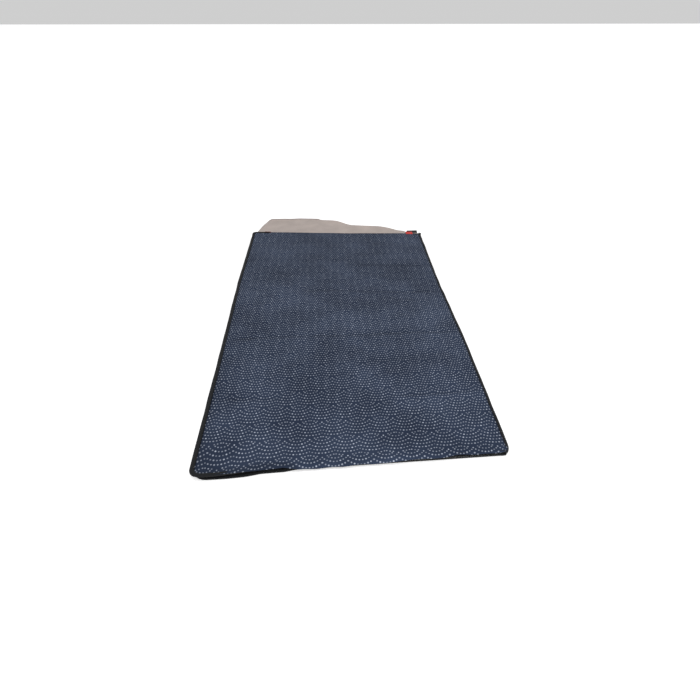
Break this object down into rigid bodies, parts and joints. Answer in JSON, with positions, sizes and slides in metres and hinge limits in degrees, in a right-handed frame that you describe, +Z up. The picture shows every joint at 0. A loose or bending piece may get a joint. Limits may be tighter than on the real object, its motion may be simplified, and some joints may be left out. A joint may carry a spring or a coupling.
{
  "type": "infrared sauna blanket",
  "caption": "Flat padded bag in dotted cloth with heated base and cover, side and foot zips, a fold along one long side and a loose lining flap at the head.",
  "frame": {"origin": "middle of the base's underside, on the floor, centred between the bindings of the closed blanket", "axes": "+Z up, +Y towards the head end, +X towards the fold side, so the side zip is at -X and the foot zip at -Y"},
  "size_m": [0.9109, 2.0676, 0.0233],
  "materials": {
    "navy_dotted_cloth": "matt woven polyester printed with rows of pale dots in fans",
    "black_cloth": "matt black binding tape and underside cloth",
    "wadding": "needled off-white wadding",
    "foil": "thin bright foil",
    "carrier_cloth": "plain off-white nonwoven",
    "wire_jacket": "dark red silicone jacket",
    "lining_cloth": "grey-beige coated lining cloth, satin",
    "edging_tape": "thin brown overlocked edge",
    "webbing": "red woven tape",
    "zip_nylon": "black nylon",
    "zip_metal": "black painted zinc casting",
    "moulded_plastic": "fine-textured black moulding",
    "ceramic": "pale glazed insert",
    "contact_brass": "bare brass"
  },
  "bodies": {
    "base": {"base_binding": "black_cloth", "base_branch_lead": "wire_jacket", "base_fold_edge": "black_cloth", "base_foot_zip_coil": "zip_nylon", "base_foot_zip_stop": "zip_nylon", "base_foot_zip_tape": "black_cloth", "base_heater_sheet": "carrier_cloth", "base_heating_wire": "wire_jacket", "base_insulation": "wadding", "base_lead_far": "wire_jacket", "base_lead_near": "wire_jacket", "base_lining": "lining_cloth", "base_outer_shell": "black_cloth", "base_reflector": "foil", "base_side_zip_coil": "zip_nylon", "base_side_zip_stop": "zip_nylon", "base_side_zip_tape": "black_cloth", "base_temperature_sensor": "ceramic", "base_thermal_cutout": "ceramic", "foot_zip_box": "zip_nylon", "inlet_housing": "moulded_plastic", "inlet_insert": "ceramic", "inlet_pin_1": "contact_brass", "inlet_pin_2": "contact_brass", "inlet_pin_3": "contact_brass", "side_zip_box": "zip_nylon"},
    "cover": {"cover_binding": "black_cloth", "cover_fold_edge": "black_cloth", "cover_foot_placket": "navy_dotted_cloth", "cover_foot_zip_coil": "zip_nylon", "cover_foot_zip_stop": "zip_nylon", "cover_foot_zip_tape": "black_cloth", "cover_heater_sheet": "carrier_cloth", "cover_heating_wire": "wire_jacket", "cover_insulation": "wadding", "cover_lead_far": "wire_jacket", "cover_lead_near": "wire_jacket", "cover_lining": "lining_cloth", "cover_outer_shell": "navy_dotted_cloth", "cover_reflector": "foil", "cover_side_zip_coil": "zip_nylon", "cover_side_zip_stop": "zip_nylon", "cover_side_zip_tape": "black_cloth", "cover_temperature_sensor": "ceramic", "cover_thermal_cutout": "ceramic", "foot_zip_pin": "zip_nylon", "hem_tab_left": "webbing", "hem_tab_right": "webbing", "side_zip_pin": "zip_nylon"},
    "neck_flap_body": {"neck_flap": "lining_cloth", "neck_flap_edging": "edging_tape"},
    "side_zip_runner": {"side_zip_slider": "zip_metal"},
    "side_zip_tab": {"side_zip_pull": "zip_metal"},
    "foot_zip_runner": {"foot_zip_slider": "zip_metal"},
    "foot_zip_tab": {"foot_zip_pull": "zip_metal"}
  },
  "joints": [
    {"name": "cover_fold", "type": "hinge", "parent": "base", "child": "cover", "pos_m": [0.45, 0, 0.0135], "axis": [0, 1, 0], "range_deg": [0, 180]},
    {"name": "neck_flap_fold", "type": "hinge", "parent": "base", "child": "neck_flap_body", "pos_m": [0, 0.902, 0.017], "axis": [1, 0, 0], "range_deg": [0, 175]},
    {"name": "side_zip_travel", "type": "slide", "parent": "base", "child": "side_zip_runner", "axis": [0, 1, 0], "range_m": [0, 1.722]},
    {"name": "side_pull_swing", "type": "hinge", "parent": "side_zip_runner", "child": "side_zip_tab", "pos_m": [-0.4589, -0.852, 0.011], "axis": [0, 0, -1], "range_deg": [0, 170]},
    {"name": "foot_zip_travel", "type": "slide", "parent": "base", "child": "foot_zip_runner", "axis": [1, 0, 0], "range_m": [0, 0.816]},
    {"name": "foot_pull_swing", "type": "hinge", "parent": "foot_zip_runner", "child": "foot_zip_tab", "pos_m": [-0.401, -0.9089, 0.011], "axis": [0, 0, 1], "range_deg": [0, 170]}
  ]
}
